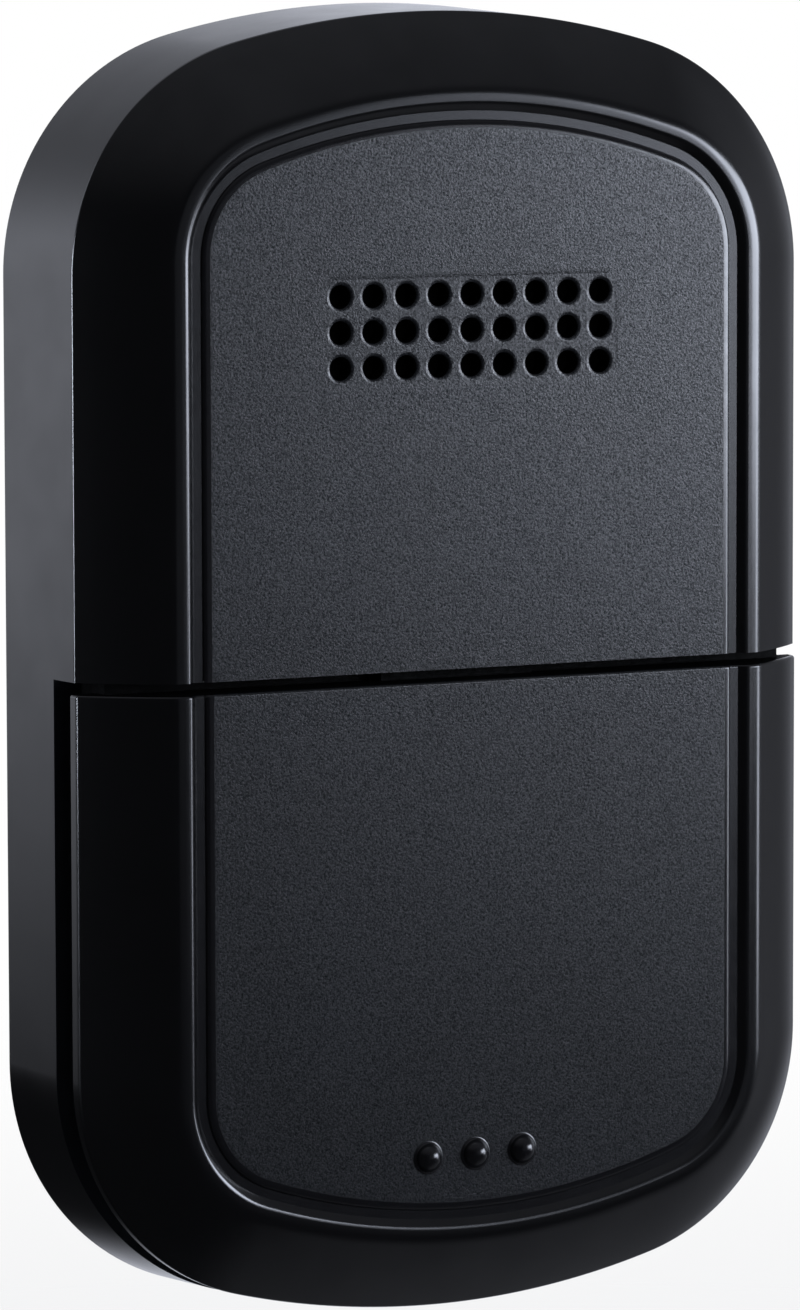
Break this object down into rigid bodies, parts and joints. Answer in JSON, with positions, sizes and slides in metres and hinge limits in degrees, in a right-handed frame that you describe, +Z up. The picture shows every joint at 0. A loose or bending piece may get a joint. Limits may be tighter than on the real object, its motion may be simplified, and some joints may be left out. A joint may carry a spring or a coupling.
{
  "type": "wireless garage door controller",
  "caption": "Slim wall-mounted wireless garage door unit with a sounder grille, a raised glossy rim and a sliding battery cover.",
  "frame": {"origin": "centre of the flat back, in the plane of the wall", "axes": "+Z up the face, +Y into the wall, the face looks along -Y, +X to the right seen from the front"},
  "size_m": [0.0684, 0.0177, 0.108],
  "materials": {
    "case_plastic": "moulded ABS, gloss band, spark-eroded face and satin sides",
    "cover_plastic": "moulded ABS, gloss band and spark-eroded face",
    "rear_plastic": "moulded ABS, fine eroded finish",
    "screw_steel": "zinc plated, bright",
    "board_laminate": "green solder resist on glass laminate",
    "sounder_plastic": "black moulded thermoplastic",
    "sounder_brass": "rolled brass disc",
    "piezo_ceramic": "silvered ceramic",
    "pin_metal": "gold flashed pins",
    "gasket_foam": "closed cell foam",
    "dust_cloth": "black acoustic cloth",
    "holder_plastic": "black moulded thermoplastic",
    "contact_metal": "nickel plated spring strip",
    "cell_steel": "polished stainless can",
    "cell_seal": "moulded grommet",
    "switch_plastic": "black thermoplastic",
    "button_plastic": "red moulded thermoplastic",
    "light_resin": "diffused epoxy",
    "clear_plastic": "clear moulded acrylic",
    "shield_tin": "tin plated sheet",
    "chip_epoxy": "moulded epoxy",
    "capacitor_aluminium": "drawn aluminium can",
    "antenna_metal": "tin plated brass sheet",
    "filter_ceramic": "fired ceramic block"
  },
  "bodies": {
    "case": {"front_housing": "case_plastic", "rear_plate": "rear_plastic", "housing_screws": "screw_steel", "circuit_board": "board_laminate", "board_screws": "screw_steel", "sounder_case": "sounder_plastic", "sounder_disc": "sounder_brass", "sounder_ceramic": "piezo_ceramic", "sounder_pins": "pin_metal", "acoustic_gasket": "gasket_foam", "dust_mesh": "dust_cloth", "battery_holder": "holder_plastic", "positive_contact": "contact_metal", "negative_contact": "contact_metal", "cell_can": "cell_steel", "cell_seal": "cell_seal", "cell_cap": "cell_steel", "learn_switch_base": "switch_plastic", "learn_switch_plate": "contact_metal", "status_indicator": "light_resin", "light_pipe": "clear_plastic", "radio_shield": "shield_tin", "processor": "chip_epoxy", "crystal": "shield_tin", "motion_sensor": "chip_epoxy", "capacitor_base": "switch_plastic", "capacitor_can": "capacitor_aluminium", "antenna": "antenna_metal", "chip_resistors": "chip_epoxy", "filter_capacitors": "filter_ceramic"},
    "cover": {"battery_cover": "cover_plastic"},
    "button": {"learn_button": "button_plastic"}
  },
  "joints": [
    {"name": "cover_slide", "type": "slide", "parent": "case", "child": "cover", "axis": [0, 0, -1], "range_m": [0, 0.058]},
    {"name": "learn_press", "type": "slide", "parent": "case", "child": "button", "axis": [0, 1, 0], "range_m": [0, 0.00025], "stiffness_N_per_m": 2000}
  ]
}
